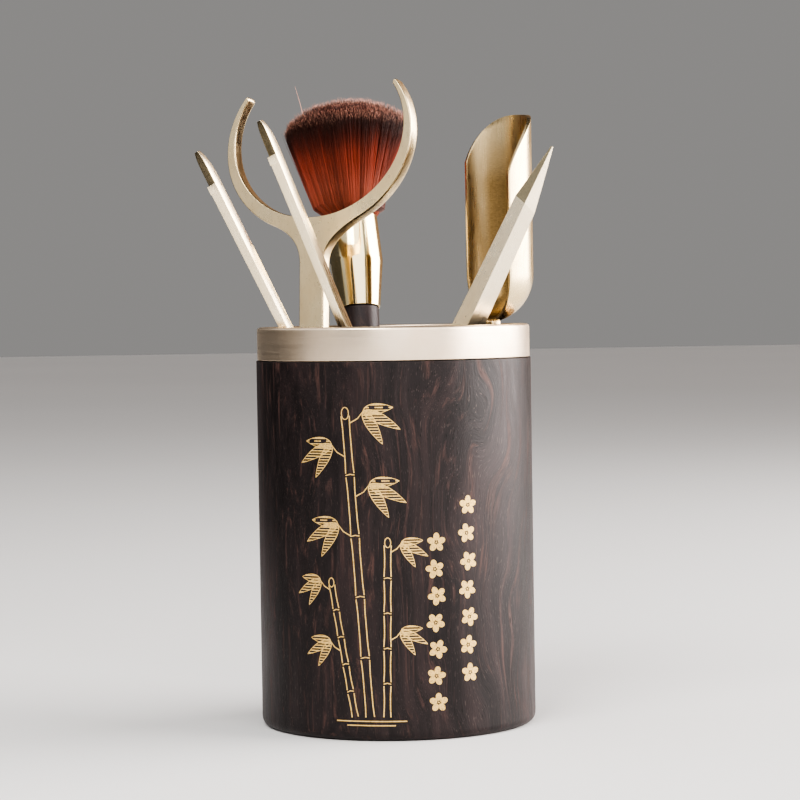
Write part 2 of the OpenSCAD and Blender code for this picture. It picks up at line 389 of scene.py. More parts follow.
def brass_look(name, bright, deep, rough, streaks, scratch=0.006, wave=0.05, grain=0.0, painted_shade=None):
    """Brass with fine scratches; streaks gives the scratches' pitch along X, Y and Z. The last
    argument is the dark colour of painted shade and painted dark reflection, which the brass takes where the
    piece's attribute of the same name is 1, with file marks across it."""
    look = Look(name, metallic=1.0)
    fine = look.noise(look.scaled(*streaks), 3, 0.6)
    broad = look.noise(look.scaled(*[s * 0.16 for s in streaks]), 2, 0.5)
    patch = look.noise(look.scaled(0.11, 0.11, 0.07), 4, 0.62)
    colour = look.mixed(look.span(patch, 0.36, 0.7), bright, deep)
    colour = look.mixed(look.span(fine, 0.58, 0.8, 0.0, 0.35), colour, tuple(c * 0.55 for c in deep))
    gloss = look.math("ADD", look.span(fine, 0.3, 0.7, rough - 0.06, rough + 0.07),
                      look.span(patch, 0.3, 0.7, -0.03, 0.05))
    # Painted shade and painted dark reflection: a dark colour mixed in where the piece's attribute for it is
    # 1.
    if painted_shade:
        share = look.attribute("painted_shade", "Fac")
        marks = look.noise(look.scaled(1.2, 1.2, 5.0), 3, 0.6)
        shade_colour = look.mixed(look.span(marks, 0.35, 0.65), painted_shade, tuple(c * 0.7 for c in painted_shade))
        colour = look.mixed(share, colour, shade_colour)
        gloss = look.math("ADD", gloss, look.math("MULTIPLY", share, 0.06))
    height = look.math("ADD", fine, look.math("MULTIPLY", broad, 1.6))
    normal = look.bump(height, scratch)
    if grain:
        dents = look.noise(look.scaled(2.4, 2.4, 1.1), 4, 0.7)
        normal = look.bump(dents, grain, normal)
    normal = look.bump(look.noise(look.scaled(0.09, 0.09, 0.05), 1, 0.4), wave, normal)
    return look.done(colour, gloss, normal)


def hair_look():
    """Dyed goat hair: red-brown, darker towards the ends, with a different tint on each hair."""
    look = Look("hair", specular=0.25)
    below = look.attribute("below", "Fac")
    tint = look.attribute("tint", "Fac")
    reach = look.add("ShaderNodeSeparateXYZ", {0: look.own}).outputs["Z"]
    body = look.ramp(look.span(reach, 134, 160), [
        (0.0, (0.24, 0.07, 0.045)), (0.3, (0.31, 0.082, 0.05)), (0.6, (0.27, 0.052, 0.028)),
        (1.0, (0.16, 0.03, 0.018))])
    body = look.mixed(look.span(below, 10.0, 2.2), body, (0.026, 0.007, 0.005))
    # The last 0.7 mm of each hair turns paler: partly the hair's own lighter ends, partly painted highlight
    # for lit fuzz at the tuft's edge.
    body = look.mixed(look.math("MULTIPLY", look.span(below, 0.7, 0.0), 0.8), body,
                      (0.95, 0.5, 0.36))
    shade = look.ramp(tint, [(0.0, (0.35, 0.33, 0.33)), (0.5, (0.95, 0.9, 0.88)),
                             (1.0, (1.8, 1.65, 1.7))])
    colour = look.mixed(1.0, body, shade, "MULTIPLY")
    look.surface.inputs["Sheen Weight"].default_value = 0.12
    look.surface.inputs["Sheen Roughness"].default_value = 0.35
    look.surface.inputs["Sheen Tint"].default_value = (0.95, 0.5, 0.38, 1)
    return look.done(colour, 0.46)


def gold_look():
    """Gold paint wiped into an engraving: satin, with specks and thin places."""
    look = Look("gold_fill", metallic=0.5)
    speck = look.noise(look.scaled(3.0, 3.0, 3.0), 4, 0.7)
    colour = look.ramp(speck, [(0.3, (0.32, 0.19, 0.06)), (0.45, (0.7, 0.47, 0.17)),
                               (0.75, (0.9, 0.66, 0.3))])
    return look.done(colour, look.span(speck, 0.3, 0.7, 0.5, 0.34), look.bump(speck, 0.02))


def studio_look(name, colour):
    """Pale seamless paper with a faint mottle."""
    look = Look(name, specular=0.2)
    place = look.add("ShaderNodeTexCoord").outputs["Object"]
    mottle = look.noise(place, 3, 0.5)
    shade = look.mixed(look.span(mottle, 0.3, 0.7, 0.0, 1.0), colour, tuple(c * 0.97 for c in colour))
    return look.done(shade, 0.7)


pot_wood = wood_look("blackwood", (0.009, 0.006, 0.0062), (0.034, 0.021, 0.021), (0.075, 0.038, 0.032))
handle_wood = wood_look("ebony", (0.024, 0.017, 0.018), (0.055, 0.036, 0.036), (0.08, 0.05, 0.046))
collar_brass = brass_look("collar_brass", (0.86, 0.72, 0.57), (0.8, 0.65, 0.49), 0.36,
                          (0.03, 0.03, 5.5), scratch=0.01, wave=0.0)
# The last colour of each of these brasses is painted shade and painted dark reflection.
tool_brass = brass_look("tool_brass", (0.86, 0.71, 0.46), (0.78, 0.61, 0.37), 0.3,
                        (0.9, 0.9, 0.35), scratch=0.0005, wave=0.2, painted_shade=(0.12, 0.09, 0.05))
tongs_brass = brass_look("tongs_brass", (0.96, 0.84, 0.62), (0.9, 0.76, 0.52), 0.28,
                         (1.2, 1.2, 0.1), scratch=0.0025, wave=0.2, painted_shade=(0.42, 0.35, 0.23))
pick_brass = brass_look("pick_brass", (0.93, 0.82, 0.63), (0.86, 0.73, 0.52), 0.3,
                        (2.4, 2.4, 0.35), scratch=0.004, wave=0.1, grain=0.05, painted_shade=(0.36, 0.31, 0.21))
trough_brass = brass_look("trough_brass", (0.88, 0.72, 0.46), (0.8, 0.62, 0.36), 0.26,
                          (2.2, 2.2, 0.1), scratch=0.0015, wave=0.15, painted_shade=(0.27, 0.18, 0.08))
ferrule_brass = brass_look("ferrule_brass", (0.9, 0.76, 0.48), (0.84, 0.69, 0.4), 0.12,
                           (0.05, 0.05, 4.0), scratch=0.002, wave=0.0)
hair = hair_look()
gold = gold_look()

# ------------------------------------------------------------------------------------------- pot

metres = Matrix.Scale(MM, 4)


def make_wood():
    """The cup: a rounded foot, a soft shoulder and a neck that the collar hides."""
    neck_r = collar_r - skirt_t
    profile = rounded([
        (0, 0, 0), (pot_r, 0, 2.6), (pot_r, collar_foot, 0.25), (neck_r, collar_foot, 0),
        (neck_r, pot_h - lip_t, 0), (bore_r, pot_h - lip_t, 0), (bore_r, floor_t, 1.5),
        (0, floor_t, 0)], 8)
    wood = settled("pot_wood", lathe(profile, 256), metres)
    belongs(wood, "pot", "dark_wood", pot_wood, "wood_body")


def make_collar():
    """The ring: a skirt with a broken lower edge and a lip rolled over the rim."""
    neck_r = collar_r - skirt_t
    foot = collar_foot + 0.12
    profile = rounded([
        (neck_r, foot, 0.2), (collar_r, foot, 0.35), (collar_r, pot_h, 1.05),
        (bore_r, pot_h, 0.5), (bore_r, pot_h - lip_t, 0.3), (neck_r, pot_h - lip_t, 0)], 8)
    collar = settled("pot_collar", lathe(profile, 256), metres)
    belongs(collar, "pot", "collar_brass", collar_brass, "brass_collar")


# --------------------------------------------------------------------- the picture on the pot

inlay_top = 0.035     # how far the gold stands over the wood
inlay_root = -0.06    # how far it goes in
line_w = 0.34         # width of an engraved line
hatch_pitch = 0.72    # distance between a leaf's hatch lines


def wrapped(x, z, lift):
    """A point of the picture, x along the surface and z up, laid on the pot."""
    turn = x / pot_r
    radius = pot_r + lift
    return radius * math.sin(turn), -radius * math.cos(turn), z


def stroke(build, points, widths):
    """A line of gold along points; widths is one width, or one for each point."""
    if isinstance(widths, (int, float)):
        widths = [widths] * len(points)
    rings = []
    for i, (x, z) in enumerate(points):
        before = points[max(0, i - 1)]
        after = points[min(len(points) - 1, i + 1)]
        run = Vector((after[0] - before[0], after[1] - before[1])).normalized()
        side = Vector((-run.y, run.x)) * widths[i] / 2
        low = (x - side.x, z - side.y)
        high = (x + side.x, z + side.y)
        rings.append([wrapped(*low, inlay_root), wrapped(*low, inlay_top),
                      wrapped(*high, inlay_top), wrapped(*high, inlay_root)])
    loft(rings, build)


def patch(build, outline):
    """A small filled shape of gold."""
    loft([[wrapped(x, z, inlay_root) for x, z in outline],
          [wrapped(x, z, inlay_top) for x, z in outline]], build)


def leaf(build, x, z, heading, length, half, droop=0.0):
    """A bamboo leaf: two margins from stalk to tip, and level hatch lines between them."""
    steps = 14
    turn = math.radians(heading)
    ahead = Vector((math.cos(turn), math.sin(turn)))
    aside = Vector((-ahead.y, ahead.x))
    left, right = [], []
    for i in range(steps + 1):
        s = i / steps
        middle = Vector((x, z)) + ahead * length * s + Vector((0, -droop * length * s * s))
        wide = half * math.sin(math.pi * s ** 0.72) ** 0.8
        left.append(tuple(middle + aside * wide))
        right.append(tuple(middle - aside * wide))
    taper = [line_w * (0.85 - 0.4 * i / steps) for i in range(steps + 1)]
    stroke(build, left, taper)
    stroke(build, right, taper)
    edge = left + right[::-1]
    low = min(p[1] for p in edge)
    high = max(p[1] for p in edge)
    for k in range(int((high - low) / hatch_pitch) + 1):
        level = low + hatch_pitch * (k + 0.5)
        cuts = []
        for a, b in zip(edge, edge[1:] + edge[:1]):
            if (a[1] <= level) != (b[1] <= level):
                cuts.append(a[0] + (b[0] - a[0]) * (level - a[1]) / (b[1] - a[1]))
        cuts.sort()
        for start, end in zip(cuts[::2], cuts[1::2]):
            if end - start > 0.25:
                stroke(build, [(start, level), ((start + end) / 2, level), (end, level)], line_w)


def culm(build, foot, run, tall, width, joints):
    """A straight bamboo stem: two lines that break at each joint, where a short ring crosses them."""
    gap, flare_by, ring_steps = 0.5, 0.16, 14
    aside = Vector((-run.y, run.x))
    stops = [0.0, *[tall * j for j in joints], tall]
    for start, end in zip(stops, stops[1:]):
        count = max(3, int((end - start) / 3))
        for side in (-1, 1):
            line = []
            for i in range(count + 1):
                middle = foot + run * (start + gap + (end - start - 2 * gap) * i / count)
                flare = 1 + flare_by * (2 * i / count - 1) ** 6
                line.append(tuple(middle + aside * side * flare * width / 2))
            stroke(build, line, line_w)
    for s in stops[1:-1]:
        middle = foot + run * s
        across = aside * width * 0.62
        stroke(build, [tuple(middle - across), tuple(middle + run * 0.25), tuple(middle + across)],
               line_w * 0.9)
    top = foot + run * (tall + 0.2)
    turns = [2 * math.pi * k / ring_steps for k in range(ring_steps + 1)]
    ring = [tuple(top + Vector((width / 2 * math.cos(a), width * 0.8 * math.sin(a)))) for a in turns]
    stroke(build, ring, line_w * 0.8)


def leaf_fan(build, joint, side, size):
    """A twig that rises to one side of a joint and carries three leaves."""
    reach, rise, leaf_w, bend = 3.4 * size, 2.8 * size, 1.25 * size, 0.12
    tip = (joint[0] + side * reach, joint[1] + rise)
    bow = (joint[0] + side * reach * 0.6, joint[1] + rise * 0.4)
    stroke(build, [joint, bow, tip], [line_w, line_w * 0.9, line_w * 0.7])
    for droop, length in ((-14, 7.4), (20, 9.4), (56, 8.2)):
        angle = -droop if side > 0 else 180 + droop
        leaf(build, *tip, angle, length * size, leaf_w, bend)


def make_bamboo():
    """Three straight stems of different heights, with leaves in threes, on two lines of ground."""
    build = bmesh.new()
    joints = (0.2, 0.4, 0.6, 0.8)
    # foot, lean in degrees, length, width, leaf size, then the fans' shares of the length and sides
    stems = (
        ((-7.5, 6.0), 94, 80, 2.0, 1.1, ((0.6, -1), (0.73, 1), (0.86, -1), (0.97, 1))),
        ((-3.0, 6.0), 89, 46, 1.6, 0.8, ((0.45, 1), (0.95, 1))),
        ((-11.5, 6.0), 100, 36, 1.5, 0.85, ((0.5, -1), (0.95, -1))))
    for foot, lean, tall, width, size, fans in stems:
        run = Vector((math.cos(math.radians(lean)), math.sin(math.radians(lean))))
        foot = Vector(foot)
        culm(build, foot, run, tall, width, joints)
        for share, side in fans:
            spot = foot + run * tall * share
            leaf_fan(build, (spot.x + side * width / 2, spot.y), side, size)
    ground_x, ground_steps = -7.3, 12
    for z, half in ((5.4, 9.5), (4.3, 6.5)):
        line = [(ground_x + half * (2 * i / ground_steps - 1), z) for i in range(ground_steps + 1)]
        stroke(build, line, line_w)
    bamboo = settled("inlay_bamboo", build, metres)
    belongs(bamboo, "pot", "gold_inlay", gold)


def blossom(build, x, z, turn):
    """Five round petals about an eye."""
    petal_at, petal_long, petal_wide, eye_r, spots = 1.5, 1.06, 0.84, 0.252, 14
    for k in range(5):
        a = turn + 2 * math.pi * k / 5
        ahead = Vector((math.cos(a), math.sin(a)))
        aside = Vector((-ahead.y, ahead.x))
        petal = []
        for i in range(spots):
            b = 2 * math.pi * i / spots
            out = ahead * (petal_at + petal_long * math.cos(b)) + aside * petal_wide * math.sin(b)
            petal.append((x + out.x, z + out.y))
        patch(build, petal)
    patch(build, arc((x, z), eye_r, 0, 324, 9))


def make_blossoms():
    """Two upright rows of blossoms, to the right of the bamboo."""
    build = bmesh.new()
    rows = ((10.4, 52.0, 7.0), (19.6, 61.4, 7.35))
    sway, twist = 0.25, 0.21
    for x, top, pitch in rows:
        for k in range(7):
            blossom(build, x + sway * (-1) ** k, top - pitch * k, math.pi / 2 + twist * k)
    blossoms = settled("inlay_blossoms", build, metres)
    belongs(blossoms, "pot", "gold_inlay", gold)


# ------------------------------------------------------------------------------------------ fork


def make_fork():
    """A plate with a flat stem that sweeps out into an open crescent."""
    ring_in, ring_out = (27.5, 23.4), (30.1, 25.85)
    in_z, out_z = 157.4, 155.55
    arm_end = (36, 31.5)
    stem_x, stem_w, neck_w, neck_z = -2.0, 4.1, 3.85, 121.0
    leave = (241, 297)
    half_t = 1.85
    steps = 64

    def sweep(side, angle):
        """One side of the neck, from the stem up to the crescent's outer edge."""
        join = ellipse_point(ring_out, out_z, angle)
        ahead = Vector(ellipse_point(ring_out, out_z, angle + side)) - Vector(join)
        before = tuple(Vector(join) - ahead.normalized() * 6.5)
        start = (stem_x + side * neck_w, neck_z)
        return [start, *cubic(start, (start[0], neck_z + 5.5), before, join, 18)]

    def edge(ring, z, start, end):
        return [ellipse_point(ring, z, start + (end - start) * i / steps) for i in range(steps + 1)]

    def cap(before, after):
        """The round end of an arm, from the end of one edge to the start of the next."""
        start, end = Vector(before[-1]), Vector(after[0])
        ahead = (start - Vector(before[-2])).normalized() * (end - start).length * 0.66
        behind = (Vector(after[1]) - end).normalized() * (end - start).length * 0.66
        return cubic(before[-1], tuple(start + ahead), tuple(end - behind), after[0], 12)[1:-1]

    right_edge = edge(ring_out, out_z, leave[1], 360 + arm_end[1] + 1.2)
    inner = edge(ring_in, in_z, 360 + arm_end[1] - 3.6, 180 - arm_end[0] + 3.6)
    left_edge = edge(ring_out, out_z, 180 - arm_end[0] - 1.2, leave[0])
    foot = [*arc((stem_x - stem_w + 3, 4.0), 3.0, 180, 262, 8),
            *arc((stem_x + stem_w - 3, 4.0), 3.0, 278, 360, 8)]
    outline = [*foot, *sweep(1, leave[1]), *right_edge[1:], *cap(right_edge, inner), *inner,
               *cap(inner, left_edge), *left_edge, *sweep(-1, leave[0])[-2::-1]]
    fork = settled("fork_plate", pillow(outline, half_t, 0.3, 0.8, 5),
                   stood("fork", fork_foot, fork_spin), smooth_angle=60)
    # Painted dark reflection: the rounded edges that face front and right, or front and up, take the dark
    # colour, as the dark line between face and side.
    paint_shade_faces(fork, lambda at, n: -0.82 < n.y < -0.5 and (n.x > 0.2 or n.z > 0.6))
    belongs(fork, "fork", "tool_brass", tool_brass, "strainer_fork")


# ----------------------------------------------------------------------------------------- tongs

hinge_z = 10.0
leg_root = 4.0
leg_angle = 2.37
leg_t = (2.2, 2.2, 2.7)
leg_w = (3.8, 3.6, 3.6)
tongs_l = 166.6


def make_tongs_bend():
    """The strip's bend, with a hollow at each end for the rounded root of a leg."""
    half_t = leg_t[0] / 2
    bend_z = leg_root + half_t + 0.7
    arm_top = hinge_z - half_t - 0.08
    cup = half_t + 0.05
    hollow = [(leg_root + x, z) for x, z in arc((0, hinge_z), cup + 0.02, 318, 222, 6)]
    outer = [*[(x, z) for x, z in arc((0, bend_z), leg_root + half_t, 180, 360, 32)]]
    inner = [(x, z) for x, z in arc((0, bend_z), leg_root - half_t, 360, 180, 32)]
    right = [p for p in hollow if abs(p[0] - leg_root) < half_t]
    left = [(-x, z) for x, z in right[::-1]]
    outline = [*outer, (leg_root + half_t, arm_top), *right, (leg_root - half_t, arm_top), *inner,
               (-leg_root + half_t, arm_top), *left, (-leg_root - half_t, arm_top)]
    build = slab(outline, -leg_w[0] / 2, leg_w[0] / 2)
    bend = settled("tongs_bend", build, stood("tongs", tongs_foot, tongs_spin), bevel=0.2)
    belongs(bend, "tongs", "tool_brass", tongs_brass, "tongs_heel")


def make_leg(side, name, body, node):
    """A flat leg. Its end is filed askew from the front, above a small block that stands proud,
    and its back curves in towards a blunt tip."""
    leg_l = tongs_l - hinge_z
    filed_l, block_l = 9.6, 2.5
    filed_z = leg_l - filed_l
    step = 0.22
    rings = []

    def ring(z, half_t, front_left, front_right, back):
        rings.append([(-half_t, front_left, z), (half_t, front_right, z), (half_t, back, z),
                      (-half_t, back, z)])

    for z in (0.0, 0.25, 0.7):
        half = (leg_t[0] / 2 - 0.06) * min(1.0, 0.55 + z)
        ring(z - 0.9, half, -leg_w[0] / 2, -leg_w[0] / 2, leg_w[0] / 2)
    for i in range(1, 25):
        z = (filed_z - block_l - step) * i / 24
        share = min(1.0, z / 100)
        late = max(0.0, (z - 100) / (filed_z - 100))
        half_t = (leg_t[0] + (leg_t[1] - leg_t[0]) * share + (leg_t[2] - leg_t[1]) * late) / 2
        half_w = (leg_w[0] + (leg_w[1] - leg_w[0]) * share + (leg_w[2] - leg_w[1]) * late) / 2
        ring(z, half_t, -half_w, -half_w, half_w)
    half_t, half_w = leg_t[2] / 2, leg_w[2] / 2
    proud, cut, tip_depth = 0.38, 1.05, 1.35
    ring(filed_z - block_l, half_t, -half_w - proud, -half_w, half_w)
    ring(filed_z - step, half_t, -half_w - proud, -half_w, half_w)
    for i in range(19):
        s = i / 18
        back = half_w - (2 * half_w - tip_depth) * s ** 2.3
        ring(filed_z + filed_l * s, half_t * (1 - 0.42 * s ** 5), min(back - 0.2, -half_w + cut),
             -half_w + 0.15 * s ** 4, back)
    place = stood("tongs", tongs_foot, tongs_spin) @ Matrix.Translation((side * leg_root, 0, hinge_z))
    place = place @ Matrix.Rotation(math.radians(side * leg_angle), 4, "Y")
    leg = settled(name, loft(rings), place, bevel=0.16, bevel_steps=3, bevel_angle=30,
                  smooth_angle=24)
    # Painted dark reflection: the filed facet near the tip takes a darker colour.
    paint_shade_faces(leg, lambda at, n: at.z > filed_z and n.y < -0.7 and -0.6 < n.x < -0.2)
    belongs(leg, body, "tool_brass", tongs_brass, node)


# ----------------------------------------------------------------------------------------- brush

ferrule_z = (108.6, 122.3, 135.4)
ferrule_r = (5.95, 7.5, 6.6)
mouth_r = 5.8
crown_z = 170.1
wide_z = 160.5
wide_r = 18.4
tuft_flat = 0.72


def make_handle():
    """Turned handle: round foot, slow taper, and a short neck under the ferrule."""
    low, waist, high = 4.6, 4.9, 5.5
    profile = [(0, 0.6), *arc((0, 0.6 + low), low, -86, -4, 14)]
    profile += [(low + (waist - low) * (k / 6) ** 2, 5.2 + 44.8 * k / 6) for k in range(1, 7)]
    profile += [(waist + (high - waist) * k / 8, 50 + (ferrule_z[0] - 50) * k / 8) for k in range(1, 9)]
    profile += [(4.2, ferrule_z[0]), (4.2, ferrule_z[0] + 8), (0, ferrule_z[0] + 8)]
    handle = settled("brush_grip", lathe(profile, 96), stood("brush", brush_foot, brush_spin))
    belongs(handle, "brush", "dark_wood", handle_wood, "brush_handle")


def make_ferrule():
    """Two cones that meet in a soft crease, with rolled ends."""
    profile = rounded([
        (4.25, ferrule_z[0] + 0.05, 0), (ferrule_r[0], ferrule_z[0] + 0.05, 0.4),
        (ferrule_r[1], ferrule_z[1], 6.0), (ferrule_r[2], ferrule_z[2], 0.3),
        (mouth_r, ferrule_z[2], 0.3), (mouth_r, ferrule_z[2] - 6.9, 0), (4.25, ferrule_z[2] - 6.9, 0)],
        10)
    ferrule = settled("brush_collar", lathe(profile, 128), stood("brush", brush_foot, brush_spin))
    belongs(ferrule, "brush", "ferrule_brass", ferrule_brass, "brush_ferrule")


def tuft_radius(z, turn=0.0):
    """The tuft's outer radius at a height, up to its widest part; it hangs out to the left."""
    s = np.clip((z - ferrule_z[2]) / (wide_z - ferrule_z[2]), 0, 1)
    bulge = 3.3 - 1.4 * np.sin(turn)
    root = mouth_r - 0.1 + bulge * np.clip(s / 0.09, 0, 1) ** 0.6
    return root + (wide_r - mouth_r + 0.1 - bulge) * s


def hairs(name, share, turn, low, tip, thick, tint, drift):
    """Hairs as thin three-sided tapers. share is a hair's place between the middle and the edge,
    turn its direction, low and tip its lowest and highest point, and drift its sideways wander."""
    rows, sides = 7, 3
    s = np.linspace(0, 1, rows)[None, :]
    z = low[:, None] + (tip - low)[:, None] * s
    radius = tuft_radius(z, turn[:, None]) * share[:, None]
    lean = drift[:, None] * s ** 2
    x = radius * np.sin(turn)[:, None] + lean * np.cos(turn * 3 + tip)[:, None]
    y = -radius * np.cos(turn)[:, None] * tuft_flat + lean * np.sin(turn * 5 + tip)[:, None] * 0.7
    width = thick[:, None] * (1 - 0.85 * s ** 2)
    count = len(share)
    points = np.zeros((count, rows, sides, 3))
    for k in range(sides):
        a = 2 * math.pi * k / sides
        points[:, :, k, 0] = x + width * math.cos(a)
        points[:, :, k, 1] = y + width * math.sin(a)
        points[:, :, k, 2] = z
    base = np.arange(count)[:, None, None] * rows * sides
    row = np.arange(rows - 1)[None, :, None] * sides
    side = np.arange(sides)[None, None, :]
    after = (side + 1) % sides
    quads = np.stack([base + row + side, base + row + after, base + row + sides + after,
                      base + row + sides + side], axis=-1).reshape(-1, 4)
    caps = np.concatenate([np.stack([base[:, 0, 0] + 2, base[:, 0, 0] + 1, base[:, 0, 0]], axis=-1),
                           np.stack([base[:, 0, 0] + (rows - 1) * sides + k for k in range(sides)], axis=-1)])
    mesh = bpy.data.meshes.new(name)
    mesh.from_pydata(points.reshape(-1, 3).tolist(), [], quads.tolist() + caps.tolist())
    below = np.repeat((tip[:, None] - z)[:, :, None], sides, axis=2).ravel().astype(np.float32)
    mesh.attributes.new("below", "FLOAT", "POINT").data.foreach_set("value", below)
    tints = np.repeat(tint, rows * sides).astype(np.float32)
    mesh.attributes.new("tint", "FLOAT", "POINT").data.foreach_set("value", tints)
    return placed(name, mesh, stood("brush", brush_foot, brush_spin), 180)


def clump(turn, seed):
    """A slow wave round the tuft, from 0 to 1, that gathers hairs into locks."""
    random = np.random.default_rng(seed)
    wave = np.zeros_like(turn)
    for pitch in (5, 11, 19, 31):
        wave += np.sin(turn * pitch + random.uniform(0, 6.28)) / pitch ** 0.35
    return 0.5 + 0.5 * np.tanh(wave)


def crown(share):
    """Height of the domed top over a hair's place."""
    return wide_z + (crown_z - wide_z) * np.sqrt(np.clip(1 - share ** 2, 0, 1))


def make_tuft():
    """A dark core, a coat of hairs round it, and the ends of the inner hairs over the dome."""
    place = stood("brush", brush_foot, brush_spin)
    core_share = 0.9
    heights = [ferrule_z[2] + (wide_z - ferrule_z[2]) * k / 14 for k in range(15)]
    profile = [(0, ferrule_z[2] - 6.8), (mouth_r - 0.1, ferrule_z[2] - 6.8)]
    profile += [(float(tuft_radius(z)) * (0.97 if k < 2 else core_share), z)
                for k, z in enumerate(heights)]
    profile += [(wide_r * core_share * math.cos(a), wide_z + (crown_z - wide_z) * 0.86 * math.sin(a))
                for a in [math.pi / 2 * k / 12 for k in range(1, 12)]]
    profile.append((0, wide_z + (crown_z - wide_z) * 0.86))
    build = lathe(profile, 96)
    for vert in build.verts:
        vert.co.y *= 1 if vert.co.z < ferrule_z[2] + 0.5 else tuft_flat
    core = settled("brush_tuft", build, place)
    # The core takes a low tint and the darker hair colour: painted shade for the depths of the tuft.
    even(core, below=5.0, tint=0.2)
    belongs(core, "brush", "bristle", hair, "brush_bristles")

    random = np.random.default_rng(SEED)
    count = 4400
    turn = random.uniform(0, 2 * math.pi, count)
    lock = clump(turn, 3)
    share = 1 - 0.12 * random.uniform(0, 1, count) ** 1.4 - 0.025 * lock
    tip = crown(share) + random.normal(0, 0.5, count) - 1.0
    coat = hairs("brush_coat", share, turn, np.full(count, ferrule_z[2] - 1.5), tip,
                 random.uniform(0.06, 0.1, count),
                 np.clip(0.45 * random.uniform(0, 1, count) + 0.5 * lock, 0, 1),
                 random.normal(0, 0.45, count))
    belongs(coat, "brush", "bristle", hair)

    count = 4400
    turn = random.uniform(0, 2 * math.pi, count)
    share = np.sqrt(random.uniform(0, 0.94, count))
    tip = crown(share) + random.normal(0, 0.35, count) - 0.5
    ends = hairs("brush_ends", share, turn, tip - random.uniform(7, 11, count), tip,
                 random.uniform(0.06, 0.1, count), random.uniform(0, 1, count),
                 random.normal(0, 0.35, count))
    belongs(ends, "brush", "bristle", hair)


def make_stray():
    """One hair that stands up out of the tuft."""
    root, tip, bow, steps = Vector((-12, -4, 162)), Vector((-14.4, -4, 173.9)), 0.5, 12
    root_half, tip_half = 0.07, 0.025
    rings = []
    for i in range(steps + 1):
        s = i / steps
        at = root.lerp(tip, s) + Vector((bow * s * (1 - s), 0, 0))
        half = root_half + (tip_half - root_half) * s
        rings.append([(at.x + x * half, at.y + y * half, at.z)
                      for x, y in ((-1, -1), (1, -1), (1, 1), (-1, 1))])
    stray = settled("brush_stray", loft(rings), stood("brush", brush_foot, brush_spin))
    # The whole hair takes the pale end colour: partly its own lighter colour, partly painted highlight for a
    # lit stray hair.
    even(stray, below=0.0, tint=0.6)
    belongs(stray, "brush", "bristle", hair)


# ----------------------------------------------------------------------------------------- scoop


def make_scoop():
    """A half tube closed by a quarter ball below, with a rounded tip; and its flat handle."""
    radius, sheet = 13.1, 1.0
    ball_z, shoulder_z, tip_z = 115.2, 140.5, 158.4
    lip_y, powers = 0.8, (3.8, 2.9)
    across, down, up = 44, 22, 30
    place = stood("scoop", scoop_foot, scoop_spin)

    def top(x):
        edge = min(1.0, abs(x) / radius)
        power = powers[x > 0]
        return shoulder_z + (tip_z - shoulder_z) * (1 - edge ** power) ** (1 / power)

    def skin(r):
        rows = []
        lowest = math.asin(lip_y / r) + 0.02
        for j in range(down):
            a = lowest + (math.pi / 2 - lowest) * j / down
            ring, z = r * math.sin(a), ball_z - r * math.cos(a)
            start = math.asin(min(1.0, lip_y / ring))
            turns = [start + (math.pi - 2 * start) * i / across for i in range(across + 1)]
            rows.append([(ring * math.cos(t), ring * math.sin(t), z) for t in turns])
        start = math.asin(lip_y / r)
        turns = [start + (math.pi - 2 * start) * i / across for i in range(across + 1)]
        for j in range(up + 1):
            rows.append([(r * math.cos(t), r * math.sin(t),
                          ball_z + (top(radius * math.cos(t)) - ball_z) * j / up) for t in turns])
        return rows

    build = bmesh.new()
    outer = [[build.verts.new(p) for p in row] for row in skin(radius)]
    inner = [[build.verts.new(p) for p in row] for row in skin(radius - sheet)]
    for rows, flip in ((outer, False), (inner, True)):
        for low, high in zip(rows, rows[1:]):
            for i in range(across):
                quad = (low[i], low[i + 1], high[i + 1], high[i])
                build.faces.new(quad[::-1] if flip else quad)
    rim_out = [row[0] for row in outer] + outer[-1][1:] + [row[-1] for row in outer[-2::-1]]
    rim_out += outer[0][-2:0:-1]
    rim_in = [row[0] for row in inner] + inner[-1][1:] + [row[-1] for row in inner[-2::-1]]
    rim_in += inner[0][-2:0:-1]
    for k in range(len(rim_out)):
        m = (k + 1) % len(rim_out)
        build.faces.new((rim_out[k], rim_out[m], rim_in[m], rim_in[k]))
    trough = settled("scoop_trough", build, place, bevel=0.3, bevel_steps=3, bevel_angle=60,
                     smooth_angle=50)

    # Painted shade and painted dark reflection inside the bowl: darker inside, less so near the left edge and
    # towards the top.
    def inside(x, y, z):
        if math.hypot(x, y, min(0.0, z - ball_z)) > radius - sheet * 0.8:
            return 0.0
        return np.interp(x, (-13, -10), (0.35, 1)) * np.interp(z, (140, 157), (1, 0.4))

    paint_shade(trough, inside)
    belongs(trough, "scoop", "tool_brass", trough_brass, "scoop_bowl")

    half, thick = 3.8, 2.8
    top_z = ball_z - radius + 0.8
    outline = [*arc((0, 1 + half), half, 180, 360, 24), (half, top_z), (-half, top_z)]
    build = slab(outline, -0.2, thick - 0.2)
    grip = settled("scoop_grip", build, place, bevel=0.5)
    belongs(grip, "scoop", "tool_brass", trough_brass, "scoop_handle")


# ------------------------------------------------------------------------------------------ pick


